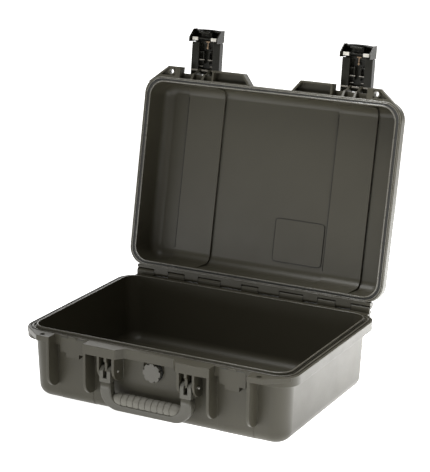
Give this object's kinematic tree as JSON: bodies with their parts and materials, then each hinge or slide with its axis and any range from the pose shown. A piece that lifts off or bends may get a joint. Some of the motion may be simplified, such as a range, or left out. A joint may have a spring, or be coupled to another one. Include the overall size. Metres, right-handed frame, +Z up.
{
  "type": "hard equipment case",
  "caption": "Hard moulded equipment case with a hinged lid, two pull latches, folding handle, purge valve and padlock ears, stored open.",
  "frame": {"origin": "middle of the flat underside of the base", "axes": "+X to the right seen from the front, -Y towards the handle, +Z up; the lid is stored open"},
  "size_m": [0.462, 0.458, 0.5199],
  "materials": {
    "shell_plastic": "fine moulded texture",
    "latch_plastic": "satin",
    "handle_rubber": "soft touch",
    "handle_plastic": "satin",
    "seal_rubber": "matt",
    "pin_steel": "brushed",
    "spring_bronze": "satin",
    "valve_plastic": "fine moulded texture",
    "membrane_fabric": "matt",
    "label_plastic": "satin"
  },
  "bodies": {
    "base": {"base_shell": "shell_plastic", "hinge_pin": "pin_steel", "handle_pin_left": "pin_steel", "handle_pin_right": "pin_steel", "valve_body": "valve_plastic", "valve_nut": "valve_plastic", "valve_o_ring": "seal_rubber", "valve_membrane": "membrane_fabric"},
    "lid": {"lid_shell": "shell_plastic", "lid_gasket": "seal_rubber", "label_plate": "label_plastic", "latch_pin_left": "pin_steel", "latch_pin_right": "pin_steel"},
    "handle": {"handle_frame": "handle_plastic", "handle_grip": "handle_rubber"},
    "valve": {"valve_knob": "valve_plastic"},
    "latch_left": {"latch_body_left": "latch_plastic", "button_pin_left": "pin_steel", "latch_spring_left": "spring_bronze"},
    "latch_right": {"latch_body_right": "latch_plastic", "button_pin_right": "pin_steel", "latch_spring_right": "spring_bronze"},
    "button_left": {"latch_button_left": "latch_plastic"},
    "button_right": {"latch_button_right": "latch_plastic"}
  },
  "joints": [
    {"name": "lid_hinge", "type": "hinge", "parent": "base", "child": "lid", "pos_m": [0, 0.17, 0.1175], "axis": [1, 0, 0], "range_deg": [0, 101.07]},
    {"name": "handle_swing", "type": "hinge", "parent": "base", "child": "handle", "pos_m": [0, -0.166, 0.0748], "axis": [-1, 0, 0], "range_deg": [0, 90]},
    {"name": "valve_turn", "type": "hinge", "parent": "base", "child": "valve", "pos_m": [0, -0.156, 0.0785], "axis": [0, -1, 0], "range_deg": [0, 90]},
    {"name": "latch_left_swing", "type": "hinge", "parent": "lid", "child": "latch_left", "pos_m": [-0.1363, 0.26138, 0.44913], "axis": [1, 0, 0], "range_deg": [-5, 85]},
    {"name": "button_left_pull", "type": "hinge", "parent": "latch_left", "child": "button_left", "pos_m": [-0.1363, 0.27428, 0.49954], "axis": [-1, 0, 0], "range_deg": [0, 14], "stiffness_Nm_per_rad": 0.15, "springref_deg": -11.46},
    {"name": "latch_right_swing", "type": "hinge", "parent": "lid", "child": "latch_right", "pos_m": [0.1363, 0.26138, 0.44913], "axis": [1, 0, 0], "range_deg": [-5, 85]},
    {"name": "button_right_pull", "type": "hinge", "parent": "latch_right", "child": "button_right", "pos_m": [0.1363, 0.27428, 0.49954], "axis": [-1, 0, 0], "range_deg": [0, 14], "stiffness_Nm_per_rad": 0.15, "springref_deg": -11.46}
  ]
}
